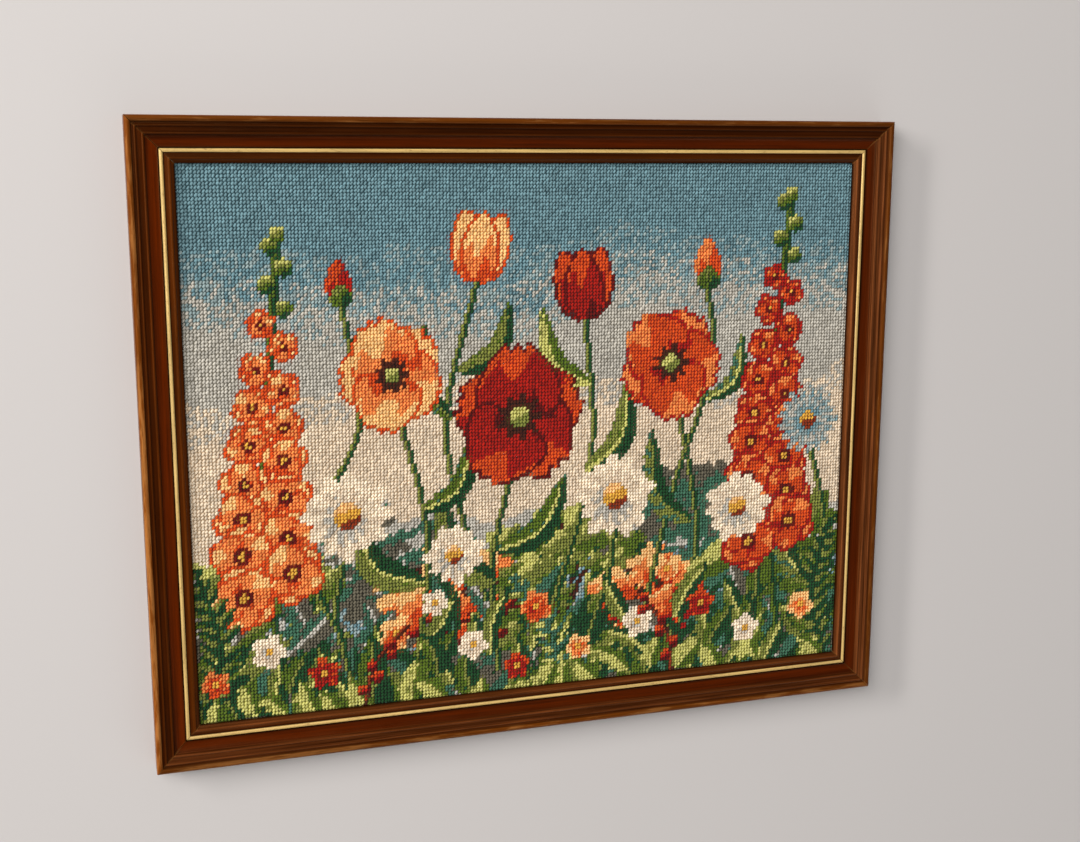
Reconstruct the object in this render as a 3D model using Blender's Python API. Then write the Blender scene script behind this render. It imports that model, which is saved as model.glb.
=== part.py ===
"""A framed needlepoint picture lying on its back, as plain solids in metres with +Z up.

+Z points out of the picture's face, +X is the picture's right and +Y its top. The origin lies on the
back plane of the frame, under its middle.
"""

from collections import namedtuple
from math import cos, dist, pi, radians, sin

import bmesh
import bpy
from mathutils import Matrix

MM = 0.001

# The frame's outside, and how far the moulding stands off its back plane
FRAME_WIDTH = 500 * MM
FRAME_HEIGHT = 401.5 * MM
MOULDING_DEPTH = 18 * MM

# Two points of an outline that lie closer than this are one
SAME_POINT = 0.001 * MM

# Room kept between two pieces that touch, and at a mitre along the rail that it shortens
GAP = 0.3 * MM
MITRE_GAP_ALONG_RAIL = GAP / (2 * sin(radians(45)))

# The rabbet behind the moulding, which takes the canvas and its board
MOULDING_WIDTH = 27.4 * MM
RABBET_WALL = 21.4 * MM
LIP_UNDERSIDE = 9.7 * MM

# The gilt bead, measured in from the outer edge, and the groove that it lies in
GILT_OUTER_EDGE = 18.7 * MM
GILT_INNER_EDGE = 21.3 * MM
GILT_SHOULDER = 11.9 * MM
GILT_CROWN = 13.0 * MM
GILT_CROWN_STEPS = 8
GROOVE_OUTER_EDGE = 18.2 * MM
GROOVE_INNER_EDGE = GILT_INNER_EDGE + GAP
GROOVE_FLOOR = 10.7 * MM

# Across the moulding's face, from the outer edge to the sight edge. Each member runs from the place where
# the last one ends to its own, in from the outer edge. Its heights are above the back plane at its start
# and its end, and its rise is how far its middle stands above the straight line between them.
Member = namedtuple("Member", "name ends_at height_at_start height_at_end rise steps")
MOULDING_FACE = (
    Member("outer bead", 3.9 * MM, 16.2 * MM, 16.2 * MM, MOULDING_DEPTH - 16.2 * MM, 10),
    Member("first quirk", 4.9 * MM, 15.9 * MM, 15.9 * MM, 0, 1),
    Member("first reed", 6.7 * MM, 15.9 * MM, 15.8 * MM, 0.9 * MM, 6),
    Member("second quirk", 9.3 * MM, 15.6 * MM, 15.4 * MM, 0, 1),
    Member("second reed", 11.2 * MM, 15.2 * MM, 15.0 * MM, 1.0 * MM, 6),
    Member("cove", 12.2 * MM, 14.8 * MM, 14.3 * MM, -0.3 * MM, 4),
    Member("hollow band", GROOVE_OUTER_EDGE, 14.2 * MM, 12.9 * MM, -0.35 * MM, 8),
    Member("gilt groove", GROOVE_INNER_EDGE, GROOVE_FLOOR, GROOVE_FLOOR, 0, 1),
    Member("slip quirk", 23.3 * MM, 12.1 * MM, 12.1 * MM, 0, 1),
    Member("slip reed", 25.4 * MM, 12.1 * MM, 11.9 * MM, 0.7 * MM, 6),
    Member("slip fall", MOULDING_WIDTH, 11.8 * MM, 10.9 * MM, -0.15 * MM, 4),
)

# The board, and the canvas on it: a bare margin under the lip around the thicker stitched field
BOARD_BACK = 3.7 * MM
BOARD_THICKNESS = 3.0 * MM
CANVAS_BACK = BOARD_BACK + BOARD_THICKNESS + GAP
MARGIN_THICKNESS = 1.2 * MM
STITCHED_THICKNESS = LIP_UNDERSIDE - GAP - CANVAS_BACK
CANVAS_EDGE_CLEARANCE = 1.0 * MM
MARGIN_WIDTH = 2.2 * MM
STITCHED_EDGE_SLOPE = 0.6 * MM

# Which way each rail's inner side faces: the turn about +Z from the bottom rail, whose inner side faces +Y
RAIL_TURNS = {"bottom": 0, "right": 90, "top": 180, "left": 270}

# Colour (RGB), roughness and metallic value of each finish
FINISHES = {
    "moulding": ((0.13, 0.035, 0.012), 0.38, 0.0),
    "gilding": ((0.72, 0.48, 0.20), 0.42, 0.6),
    "stitched_wool": ((0.46, 0.42, 0.34), 0.95, 0.0),
    "board": ((0.24, 0.14, 0.075), 0.85, 0.0),
}


def clear_scene():
    for old in list(bpy.data.objects):
        bpy.data.objects.remove(old, do_unlink=True)


def make_finish(name):
    colour, roughness, metallic = FINISHES[name]
    material = bpy.data.materials.new(name)
    material.use_nodes = True
    shader = material.node_tree.nodes["Principled BSDF"]
    shader.inputs["Base Color"].default_value = (*colour, 1)
    shader.inputs["Roughness"].default_value = roughness
    shader.inputs["Metallic"].default_value = metallic
    return material


def finished_mesh(name, shape, material):
    """The bmesh made into a mesh that carries its material."""
    mesh = bpy.data.meshes.new(name)
    shape.to_mesh(mesh)
    shape.free()
    mesh.materials.append(material)
    return mesh


def add_object(name, mesh):
    piece = bpy.data.objects.new(name, mesh)
    bpy.context.scene.collection.objects.link(piece)
    return piece


def slab(size_x, size_y, bottom, thickness):
    """A flat block over the middle of the frame, as a bmesh."""
    shape = bmesh.new()
    place = Matrix.Translation((0, 0, bottom + thickness / 2))
    place @= Matrix.Diagonal((size_x, size_y, thickness, 1))
    bmesh.ops.create_cube(shape, size=1, matrix=place)
    return shape


def arched_line(start, end, rise, steps):
    """Points from start to end, both (in from the edge, height), bowed up by rise as half an ellipse."""
    points = []
    for step in range(steps + 1):
        along = (1 - cos(pi * step / steps)) / 2
        bow = rise * sin(pi * step / steps)
        points.append(
            (
                start[0] + (end[0] - start[0]) * along,
                start[1] + (end[1] - start[1]) * along + bow,
            )
        )
    return points


def moulding_outline():
    """The rail's section as (in from the outer edge, height) points: over the face, then back by the rabbet."""
    points = [(0, 0)]
    starts_at = 0
    for member in MOULDING_FACE:
        start = (starts_at, member.height_at_start)
        end = (member.ends_at, member.height_at_end)
        for point in arched_line(start, end, member.rise, member.steps):
            if dist(point, points[-1]) > SAME_POINT:
                points.append(point)
        starts_at = member.ends_at
    points.append((MOULDING_WIDTH, LIP_UNDERSIDE))
    points.append((RABBET_WALL, LIP_UNDERSIDE))
    points.append((RABBET_WALL, 0))
    return points


def gilt_outline():
    """The gilt bead's section: square below its shoulders, and half round above."""
    foot = GROOVE_FLOOR + GAP
    crown = arched_line(
        (GILT_OUTER_EDGE, GILT_SHOULDER),
        (GILT_INNER_EDGE, GILT_SHOULDER),
        GILT_CROWN - GILT_SHOULDER,
        GILT_CROWN_STEPS,
    )
    return [(GILT_OUTER_EDGE, foot), *crown, (GILT_INNER_EDGE, foot)]


def mitred_length(name, outline, outer_length, material):
    """A mesh of the outline run along X between two 45-degree mitres, its outer edge at y = 0."""
    shape = bmesh.new()
    start_points = [shape.verts.new((-outer_length / 2, inset, height)) for inset, height in outline]
    shape.faces.new(start_points)
    extruded = bmesh.ops.extrude_face_region(shape, geom=shape.faces[:])
    end_points = [item for item in extruded["geom"] if isinstance(item, bmesh.types.BMVert)]
    bmesh.ops.translate(shape, verts=end_points, vec=(outer_length, 0, 0))
    for point in shape.verts:
        shortened = point.co.y + MITRE_GAP_ALONG_RAIL
        point.co.x += shortened if point.co.x < 0 else -shortened
    bmesh.ops.recalc_face_normals(shape, faces=shape.faces[:])
    mesh = finished_mesh(name, shape, material)
    mesh.shade_smooth()
    mesh.set_sharp_from_angle(angle=radians(35))
    return mesh


def make_mitred_set(prefix, outline, material):
    """Four mitred lengths of one section around the frame, one object on each side."""
    across = mitred_length(prefix + "_across", outline, FRAME_WIDTH, material)
    upright = mitred_length(prefix + "_upright", outline, FRAME_HEIGHT, material)
    for side, turn in RAIL_TURNS.items():
        lies_across = side in ("bottom", "top")
        out_from_middle = (FRAME_HEIGHT if lies_across else FRAME_WIDTH) / 2
        piece = add_object(f"{prefix}_{side}", across if lies_across else upright)
        spin = Matrix.Rotation(radians(turn), 4, "Z")
        piece.matrix_world = spin @ Matrix.Translation((0, -out_from_middle, 0))


def make_back_board(material):
    """The flat board that the canvas is stretched on, loose in the rabbet by the usual gap."""
    size_x = FRAME_WIDTH - 2 * (RABBET_WALL + GAP)
    size_y = FRAME_HEIGHT - 2 * (RABBET_WALL + GAP)
    shape = slab(size_x, size_y, BOARD_BACK, BOARD_THICKNESS)
    add_object("back_board", finished_mesh("back_board", shape, material))


def make_needlepoint(material):
    """The canvas: a thin bare margin all round, and the stitched field raised inside it."""
    size_x = FRAME_WIDTH - 2 * (RABBET_WALL + CANVAS_EDGE_CLEARANCE)
    size_y = FRAME_HEIGHT - 2 * (RABBET_WALL + CANVAS_EDGE_CLEARANCE)
    shape = slab(size_x, size_y, CANVAS_BACK, MARGIN_THICKNESS)
    face = max(shape.faces, key=lambda side: side.calc_center_median().z)
    bmesh.ops.inset_individual(shape, faces=[face], thickness=MARGIN_WIDTH)
    bmesh.ops.inset_individual(
        shape,
        faces=[face],
        thickness=STITCHED_EDGE_SLOPE,
        depth=STITCHED_THICKNESS - MARGIN_THICKNESS,
    )
    add_object("needlepoint", finished_mesh("needlepoint", shape, material))


def main():
    clear_scene()
    make_mitred_set("rail", moulding_outline(), make_finish("moulding"))
    make_mitred_set("gilt", gilt_outline(), make_finish("gilding"))
    make_needlepoint(make_finish("stitched_wool"))
    make_back_board(make_finish("board"))


main()
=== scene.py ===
"""A wool needlepoint of garden flowers in its polished moulding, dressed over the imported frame.

The picture lies on its back: +X is its right, +Y its top, and +Z points out of its face. Every stitch is
modelled, one piece for each colour of yarn, from a chart that the functions below draw.
"""

from collections import namedtuple
from copy import copy
from math import cos, pi, radians, sin

import bmesh
import bpy
import numpy as np
from bpy.props import FloatProperty, FloatVectorProperty, IntProperty, PointerProperty
from mathutils import Matrix, Vector


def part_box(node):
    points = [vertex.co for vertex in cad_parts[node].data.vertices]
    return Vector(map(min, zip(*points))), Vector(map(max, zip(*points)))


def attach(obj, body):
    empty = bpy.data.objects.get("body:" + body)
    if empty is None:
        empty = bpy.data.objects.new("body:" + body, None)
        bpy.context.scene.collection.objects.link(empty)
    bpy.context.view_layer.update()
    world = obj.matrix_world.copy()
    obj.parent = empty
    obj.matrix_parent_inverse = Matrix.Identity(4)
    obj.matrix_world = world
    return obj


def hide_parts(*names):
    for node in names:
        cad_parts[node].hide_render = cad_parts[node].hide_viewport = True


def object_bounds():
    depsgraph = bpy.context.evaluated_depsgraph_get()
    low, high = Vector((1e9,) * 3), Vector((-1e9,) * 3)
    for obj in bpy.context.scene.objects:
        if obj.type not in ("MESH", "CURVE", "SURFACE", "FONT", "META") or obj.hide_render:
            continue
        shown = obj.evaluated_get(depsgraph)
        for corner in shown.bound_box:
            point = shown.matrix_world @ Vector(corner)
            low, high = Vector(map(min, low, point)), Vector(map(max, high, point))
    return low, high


bl_info = {
    "name": "Framed needlepoint",
    "version": (1, 0, 0),
    "blender": (4, 5, 0),
    "location": "3D View > Sidebar > Needlepoint",
    "description": "Works a needlepoint stitch by stitch and finishes its moulding, gilt line and board",
    "category": "Object",
}

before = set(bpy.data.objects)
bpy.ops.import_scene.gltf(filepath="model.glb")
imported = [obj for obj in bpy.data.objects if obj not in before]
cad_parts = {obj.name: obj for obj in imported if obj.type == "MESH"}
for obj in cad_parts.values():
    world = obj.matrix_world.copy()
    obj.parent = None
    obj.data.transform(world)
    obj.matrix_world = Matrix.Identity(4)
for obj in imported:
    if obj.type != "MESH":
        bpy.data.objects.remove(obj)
CAD_LOW, CAD_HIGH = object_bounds()

MM = 0.001
BODY = "root"

# Each side's turn about +Z from the bottom one; its tone, how much lighter or darker its whole rail is
# painted beside the others' (0 is their mean), as painted light and shade for light from the left; how far
# its outer bead is worn, set higher on the left and bottom as painted light; and how much painted highlight
# lies on its reeds and slip
Side = namedtuple("Side", "turn tone bead_wear reed_wear")
SIDES = {
    "bottom": Side(0, -0.22, 0.85, 0.40),
    "right": Side(90, -0.32, 0.15, 1.00),
    "top": Side(180, -0.22, 0.10, 0.00),
    "left": Side(270, 0.28, 0.90, 0.00),
}

# The frame's outside, and the sight opening inside the four rails
FRAME_WIDTH = CAD_HIGH.x - CAD_LOW.x
FRAME_HEIGHT = CAD_HIGH.y - CAD_LOW.y
SIGHT_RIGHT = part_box("rail_right")[0].x
SIGHT_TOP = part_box("rail_top")[0].y
MOULDING_WIDTH = CAD_HIGH.x - SIGHT_RIGHT
MOULDING_DEPTH = CAD_HIGH.z - CAD_LOW.z

# Where a mitred rail ends: as far in from its outer edge as the point lies, and this much more
MITRE_GAP_ALONG_RAIL = FRAME_WIDTH / 2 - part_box("rail_bottom")[1].x

# The canvas: its back lies just over the board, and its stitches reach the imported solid's face. Each
# stitch's foot lies a little below the bare canvas's face.
CANVAS_LOW, CANVAS_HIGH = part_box("needlepoint")
BARE_CANVAS_THICKNESS = 1.2 * MM
CANVAS_ROUND = 0.3 * MM
STITCH_FOOT = CANVAS_LOW.z + 0.9 * MM

# Rows and columns of stitches that run on under the lip at each side of the sight opening
HIDDEN_STITCHES = 1

MAX_STITCHES_IN_A_PIECE = 8000


def linear(red, green, blue):
    """A colour given in 0 to 255 as a screen shows it, as the linear values that shaders take."""
    shares = (channel / 255 for channel in (red, green, blue))
    return tuple(s / 12.92 if s <= 0.04045 else ((s + 0.055) / 1.055) ** 2.4 for s in shares)


# The yarn card: each wool's name, what it is like, and its colour
Wool = namedtuple("Wool", "name looks red green blue")
YARN_CARD = (
    Wool("lake_blue", "deep grey-blue of the upper ground", 116, 150, 158),
    Wool("mist_blue", "paler blue that blends the ground", 152, 170, 170),
    Wool("silver_grey", "cool grey of the ground", 196, 190, 178),
    Wool("oatmeal", "warm beige of the ground", 232, 212, 186),
    Wool("cream", "daisy petals", 252, 234, 208),
    Wool("crimson", "red petals", 170, 26, 14),
    Wool("wine", "deep red petal edges", 104, 14, 10),
    Wool("rust", "orange-red petals", 216, 80, 24),
    Wool("apricot", "orange petals", 244, 144, 74),
    Wool("peach", "palest petals", 252, 202, 134),
    Wool("gold", "daisy hearts", 226, 172, 66),
    Wool("lime", "leaf ribs and young leaves", 206, 202, 116),
    Wool("moss", "olive leaves", 132, 138, 62),
    Wool("fern", "mid green leaves", 90, 112, 30),
    Wool("pine", "dark green leaves and stems", 28, 74, 38),
    Wool("teal", "blue-green leaves", 68, 114, 90),
    Wool("slate", "grey shadows in the foliage", 106, 100, 84),
    Wool("chestnut", "brown seed heads", 140, 52, 20),
    Wool("bark", "darkest brown", 74, 32, 18),
)
YARN_NUMBER = {wool.name: number for number, wool in enumerate(YARN_CARD)}


def size_setting(name, description, default, least=0.0):
    return FloatProperty(
        name=name,
        description=description,
        default=default,
        min=least,
        unit="LENGTH",
        precision=5,
    )


def colour_setting(name, description, default):
    return FloatVectorProperty(
        name=name,
        description=description,
        default=default,
        min=0.0,
        max=1.0,
        subtype="COLOR",
    )


def power_setting(name, description, default):
    return FloatProperty(
        name=name,
        description=description,
        default=default,
        min=0.0,
        unit="POWER",
    )


class NeedleworkSettings(bpy.types.PropertyGroup):
    """Sizes of the canvas mesh and of the stitches worked on it."""

    pitch_across: size_setting(
        "Pitch across",
        "Distance from one stitch to the next along a row",
        2.151 * MM,
        least=1 * MM,
    )
    pitch_down: size_setting(
        "Pitch down",
        "Distance from one row of stitches to the next",
        2.223 * MM,
        least=1 * MM,
    )
    half_width: size_setting("Half width", "Half the width of a stitch at its middle", 0.91 * MM)
    lean: size_setting(
        "Lean",
        "How far each end of a stitch is drawn across its hole, which stands it up steeper",
        0.20 * MM,
    )
    relief: size_setting(
        "Relief",
        "How far a stitch's middle stands above its foot in the canvas",
        1.32 * MM,
    )
    unevenness: FloatProperty(
        name="Unevenness",
        description="How much stitches differ in size, slant and place: 0 is machine-even, 1 is by hand",
        default=1.0,
        min=0.0,
        max=2.0,
        subtype="FACTOR",
    )
    hand: IntProperty(
        name="Hand",
        description="Seed of every random draw in the stitching",
        default=7,
    )


class YarnColours(bpy.types.PropertyGroup):
    """One colour for each wool on the yarn card."""

    __annotations__ = {
        wool.name: colour_setting(
            wool.name.replace("_", " ").capitalize(),
            f"Colour of the wool used for: {wool.looks}",
            linear(wool.red, wool.green, wool.blue),
        )
        for wool in YARN_CARD
    }


class MouldingSettings(bpy.types.PropertyGroup):
    """The stain, wear and polish of the wooden moulding, and the paler colour of the painted highlight on
    its reeds and slip.
    """

    worn_wood: colour_setting(
        "Worn wood",
        "Colour where the stain has rubbed off the outer bead",
        linear(150, 96, 46),
    )
    stained_bead: colour_setting(
        "Stained bead",
        "Colour of the outer bead and the reeds where the stain is whole",
        linear(108, 54, 10),
    )
    band_stain: colour_setting("Band stain", "Red-brown colour of the broad hollow band", linear(84, 26, 0))
    quirk_stain: colour_setting(
        "Quirk stain",
        "Darkest colour, in the quirks between the reeds",
        linear(55, 18, 0),
    )
    # Painted highlight: the paler colour that the reeds and slip take where the light from the left falls on
    # them
    lit_reed: colour_setting(
        "Faded reed",
        "Colour of the reeds and the slip where their stain has faded",
        linear(160, 90, 46),
    )
    bare_wood: colour_setting(
        "Bare wood",
        "Colour of the unstained wood on the back and in the rabbet",
        linear(168, 128, 88),
    )
    sheen: colour_setting(
        "Sheen",
        "Tint of the light that the old brown polish reflects",
        (1.0, 0.42, 0.16),
    )
    polish: FloatProperty(
        name="Polish roughness",
        description="Roughness of the polished wood: lower is glossier",
        default=0.32,
        min=0.0,
        max=1.0,
        subtype="FACTOR",
    )


class GiltSettings(bpy.types.PropertyGroup):
    """The gilt line between the band and the slip."""

    gold: colour_setting("Gold", "Colour of the gilt paint", linear(228, 190, 116))
    rubbed: colour_setting("Rubbed gold", "Colour where the gilt has worn thin", linear(122, 80, 34))
    unpainted: colour_setting(
        "Unpainted sides",
        "Colour of the bead's stained sides, below the paint",
        linear(78, 36, 6),
    )


class BoardSettings(bpy.types.PropertyGroup):
    """The brown hardboard behind the canvas."""

    dark_fibre: colour_setting("Dark fibre", "Darkest colour of the pressed fibres", linear(96, 66, 42))
    pale_fibre: colour_setting("Pale fibre", "Palest colour of the pressed fibres", linear(156, 116, 78))


class StageSettings(bpy.types.PropertyGroup):
    """The floor, the lights and the camera."""

    floor: colour_setting("Floor", "Colour of the plain floor", linear(205, 200, 198))
    key_power: power_setting(
        "Key power",
        "Power of the large soft light high above the picture's top left",
        68.0,
    )
    raking_power: power_setting(
        "Raking power",
        "Power of the low light beyond the top left, which brings out the stitches and the reeds",
        228.0,
    )
    fill_power: power_setting(
        "Fill power",
        "Power of the low soft light beyond the picture's lower edge",
        7.0,
    )
    camera_place: FloatVectorProperty(
        name="Camera place",
        description="Where the camera stands",
        default=(-0.2713, 0.1771, 0.8670),
        subtype="TRANSLATION",
        unit="LENGTH",
    )
    camera_turn: FloatVectorProperty(
        name="Camera turn",
        description="The camera's rotation about X, Y and Z",
        default=(radians(-10.671), radians(-17.629), radians(0.086)),
        subtype="EULER",
    )
    lens: FloatProperty(
        name="Lens",
        description="Focal length in millimetres on a sensor 36 mm wide",
        default=46.82,
    )


# Helpers for materials


def add_node(tree, kind, inputs=None, **settings):
    """Adds a shader node; a value in inputs is a number or colour, or a socket to join it to."""
    made = tree.nodes.new("ShaderNode" + kind)
    for key, value in settings.items():
        setattr(made, key, value)
    for key, value in (inputs or {}).items():
        join(tree, value, made.inputs[key])
    return made


def join(tree, value, socket):
    if isinstance(value, bpy.types.NodeSocket):
        tree.links.new(value, socket)
    else:
        socket.default_value = value


def opaque(colour):
    return (*colour, 1.0)


def blend_values(first, second, share):
    return tuple(a + (b - a) * share for a, b in zip(first, second))


def point_value(tree, name):
    """The value that each point of the mesh carries under this name."""
    return add_node(tree, "Attribute", attribute_name=name).outputs["Fac"]


def object_place(tree):
    """The place on the piece, as (vector, x, y, z)."""
    place = add_node(tree, "TexCoord").outputs["Object"]
    return place, *add_node(tree, "SeparateXYZ", {"Vector": place}).outputs


def maths(tree, operation, first, second=0.0, third=0.0, clamp=False):
    made = tree.nodes.new("ShaderNodeMath")
    made.operation = operation
    made.use_clamp = clamp
    for socket, value in zip(made.inputs, (first, second, third)):
        join(tree, value, socket)
    return made.outputs[0]


def wave(tree, value, turns):
    """A sine of the value, which runs through this many radians for each unit of it."""
    return maths(tree, "SINE", maths(tree, "MULTIPLY", value, turns))


def blend_colours(tree, share, first, second, blend_type="MIX"):
    """A mix of two colours, each a colour or a socket."""
    made = tree.nodes.new("ShaderNodeMix")
    made.data_type = "RGBA"
    made.blend_type = blend_type
    join(tree, share, made.inputs["Factor"])
    colour_inputs = [socket for socket in made.inputs if socket.type == "RGBA"]
    for socket, value in zip(colour_inputs, (first, second)):
        join(tree, value, socket)
    return next(socket for socket in made.outputs if socket.type == "RGBA")


def shaded(tree, colour, shade):
    """The colour made darker or lighter by the factor shade."""
    grey = add_node(tree, "CombineColor", {"Red": shade, "Green": shade, "Blue": shade}).outputs["Color"]
    return blend_colours(tree, 1.0, colour, grey, "MULTIPLY")


def span(tree, value, from_low, from_high, to_low=0.0, to_high=1.0):
    """Maps a value from one range to another, and holds it within the second."""
    ends = {"From Min": from_low, "From Max": from_high, "To Min": to_low, "To Max": to_high}
    return add_node(tree, "MapRange", {"Value": value, **ends}).outputs["Result"]


def noise(tree, vector, *, scale, detail, roughness=0.5):
    looks = {"Scale": scale, "Detail": detail, "Roughness": roughness}
    return add_node(tree, "TexNoise", {"Vector": vector, **looks}).outputs["Fac"]


def grain_noise(tree, vector, *, along, across, detail, roughness=0.5):
    """Noise of so many bumps a metre along the rail, and so many across it."""
    scaled = add_node(tree, "Mapping", {"Vector": vector, "Scale": (along, across, across)})
    return noise(tree, scaled.outputs["Vector"], scale=1.0, detail=detail, roughness=roughness)


def new_finish(name, roughness, metallic=0.0):
    """A material with its Principled shader, as (material, node tree, shader)."""
    material = bpy.data.materials.new(name)
    material.use_nodes = True
    shader = material.node_tree.nodes["Principled BSDF"]
    shader.inputs["Roughness"].default_value = roughness
    shader.inputs["Metallic"].default_value = metallic
    return material, material.node_tree, shader


def add_bump(tree, shader, height, strength, distance):
    bump = add_node(tree, "Bump", {"Height": height, "Strength": strength, "Distance": distance})
    tree.links.new(bump.outputs["Normal"], shader.inputs["Normal"])


# Helpers for meshes


def add_piece(name, mesh, material, place=None):
    """Links a mesh at its place, as a piece in one of the part's slots that rides on its one body."""
    mesh.materials.append(material)
    piece = bpy.data.objects.new(name, mesh)
    bpy.context.scene.collection.objects.link(piece)
    if place:
        piece.matrix_world = place
    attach(piece, BODY)
    return piece


def mesh_from_arrays(name, points, faces):
    """A mesh from an array of points and an array of faces that all have the same number of corners."""
    mesh = bpy.data.meshes.new(name)
    corners = faces.shape[1]
    mesh.vertices.add(len(points))
    mesh.vertices.foreach_set("co", np.ascontiguousarray(points, np.float32).ravel())
    mesh.loops.add(faces.size)
    mesh.loops.foreach_set("vertex_index", np.ascontiguousarray(faces, np.int32).ravel())
    mesh.polygons.add(len(faces))
    mesh.polygons.foreach_set("loop_start", np.arange(0, faces.size, corners, dtype=np.int32))
    mesh.update(calc_edges=True)
    return mesh


def add_uv(mesh, name, places):
    layer = mesh.uv_layers.new(name=name)
    layer.uv.foreach_set("vector", np.ascontiguousarray(places, np.float32).ravel())


def distance_along(line):
    """How far along a line of points each one lies, from 0 to the line's length."""
    return np.concatenate([[0], np.cumsum(np.hypot(*np.diff(line, axis=0).T))])


def onward(place, turn, distance):
    """The point at this distance from a place, towards this turn from the x axis."""
    return place[0] + distance * cos(turn), place[1] + distance * sin(turn)


def add_point_values(mesh, name, values):
    attribute = mesh.attributes.new(name, "FLOAT", "POINT")
    attribute.data.foreach_set("value", np.ascontiguousarray(values, np.float32).ravel())


# The chart


class Chart:
    """Which wool works each stitch. Its x runs to the right and its y up, both in stitches."""

    def __init__(self, columns, rows, seed):
        self.columns = columns
        self.rows = rows
        self.random = np.random.default_rng(seed)
        self.wool = np.zeros((rows, columns), int)
        self.x, self.y = np.meshgrid(np.arange(columns) + 0.5, np.arange(rows) + 0.5)
        self.grain = self.random.random((rows, columns))

    def near(self, points, reach):
        """The stitches within reach of some points, as a smaller chart that shares them with this one."""
        low_x, low_y = (max(int(value - reach), 0) for value in np.min(points, 0))
        high_x, high_y = (max(int(value + reach) + 2, 1) for value in np.max(points, 0))
        part = copy(self)
        for name in ("wool", "x", "y", "grain"):
            setattr(part, name, getattr(self, name)[low_y:high_y, low_x:high_x])
        return part

    def away_from(self, place):
        """How far each stitch lies from a place, across and up."""
        return self.x - place[0], self.y - place[1]

    def drift(self, spacing_x, spacing_y):
        """A smooth random field from -1 to 1 over the whole chart, its bumps that many stitches apart."""
        wide = int(self.columns / spacing_x) + 3
        high = int(self.rows / spacing_y) + 3
        knots = self.random.uniform(-1, 1, (high, wide))
        u, v = self.x / spacing_x, self.y / spacing_y
        i, j = u.astype(int), v.astype(int)
        s, t = u - i, v - j
        s, t = s * s * (3 - 2 * s), t * t * (3 - 2 * t)
        low = knots[j, i] * (1 - s) + knots[j, i + 1] * s
        high = knots[j + 1, i] * (1 - s) + knots[j + 1, i + 1] * s
        return low * (1 - t) + high * t

    def lay(self, where, tone, wools, speckle=0.25):
        """Works the stitches of a region in wools from dark to light as tone goes from 0 to 1."""
        shade = np.clip(tone, 0, 0.999) * len(wools) + speckle * (self.grain - 0.5)
        self.work(where, np.clip(shade.astype(int), 0, len(wools) - 1), wools)

    def scatter(self, where, wools):
        """Works a region in a random blend of wools."""
        self.work(where, (self.random.random(self.wool.shape) * len(wools)).astype(int), wools)

    def work(self, where, pick, wools):
        """Works the stitches of a region, each in the wool that pick says."""
        numbers = np.array([YARN_NUMBER[name] for name in wools])
        self.wool[where] = numbers[pick[where]]


def smooth_line(points, spacing=0.5):
    """Points along a smooth curve through a few given ones, about spacing stitches apart."""
    p = np.array(points, float)
    p = np.vstack([2 * p[0] - p[1], p, 2 * p[-1] - p[-2]])
    found = []
    for k in range(1, len(p) - 2):
        before, start, end, after = p[k - 1 : k + 3]
        steps = int(np.hypot(*(end - start)) / spacing) + 2
        t = np.linspace(0, 1, steps, endpoint=k == len(p) - 3)[:, None]
        pull = 2 * before - 5 * start + 4 * end - after
        twist = 3 * start - before - 3 * end + after
        found.append(0.5 * (2 * start + (end - before) * t + pull * t**2 + twist * t**3))
    return np.vstack(found)


def beside_line(chart, line):
    """Each stitch's share of the way along the line, its distance from it and its side; and the length."""
    run = distance_along(line)
    way = np.gradient(line, axis=0)
    off_x = chart.x[..., None] - line[:, 0]
    off_y = chart.y[..., None] - line[:, 1]
    far = np.hypot(off_x, off_y)
    nearest = far.argmin(-1)[..., None]
    distance, off_x, off_y = (np.take_along_axis(a, nearest, -1)[..., 0] for a in (far, off_x, off_y))
    nearest = nearest[..., 0]
    side = np.sign(way[nearest, 0] * off_y - way[nearest, 1] * off_x)
    return run[nearest] / run[-1], distance, side, run[-1]


def work_stem(chart, points, half_width=1.0, wools=("pine", "moss")):
    line = smooth_line(points)
    chart = chart.near(line, half_width + 1)
    _, distance, side, _ = beside_line(chart, line)
    chart.lay(distance < half_width, 0.5 + 0.4 * side, wools)


def work_leaf(chart, points, half_width, wools, rib, teeth=0.0):
    """A leaf along a curve from its foot to its tip: a dark half, a light half, a rib and maybe teeth."""
    line = smooth_line(points)
    chart = chart.near(line, half_width + 2)
    share, distance, side, length = beside_line(chart, line)
    edge = half_width * np.sin(pi * share**0.8) ** 0.8 + 0.35
    edge = edge * (1 - teeth * ((share * length / 4.5) % 1.0))
    inside = distance < edge
    veins = 0.13 * np.sin(share * length * 1.1 - distance * 1.3)
    tone = 0.46 + 0.26 * side + 0.22 * side * distance / edge + veins - 0.16 * (distance > edge - 0.9)
    chart.lay(inside, tone, wools)
    if rib:
        chart.lay(inside & (distance < 0.6) & (share < 0.86), tone, (rib,))


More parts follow.
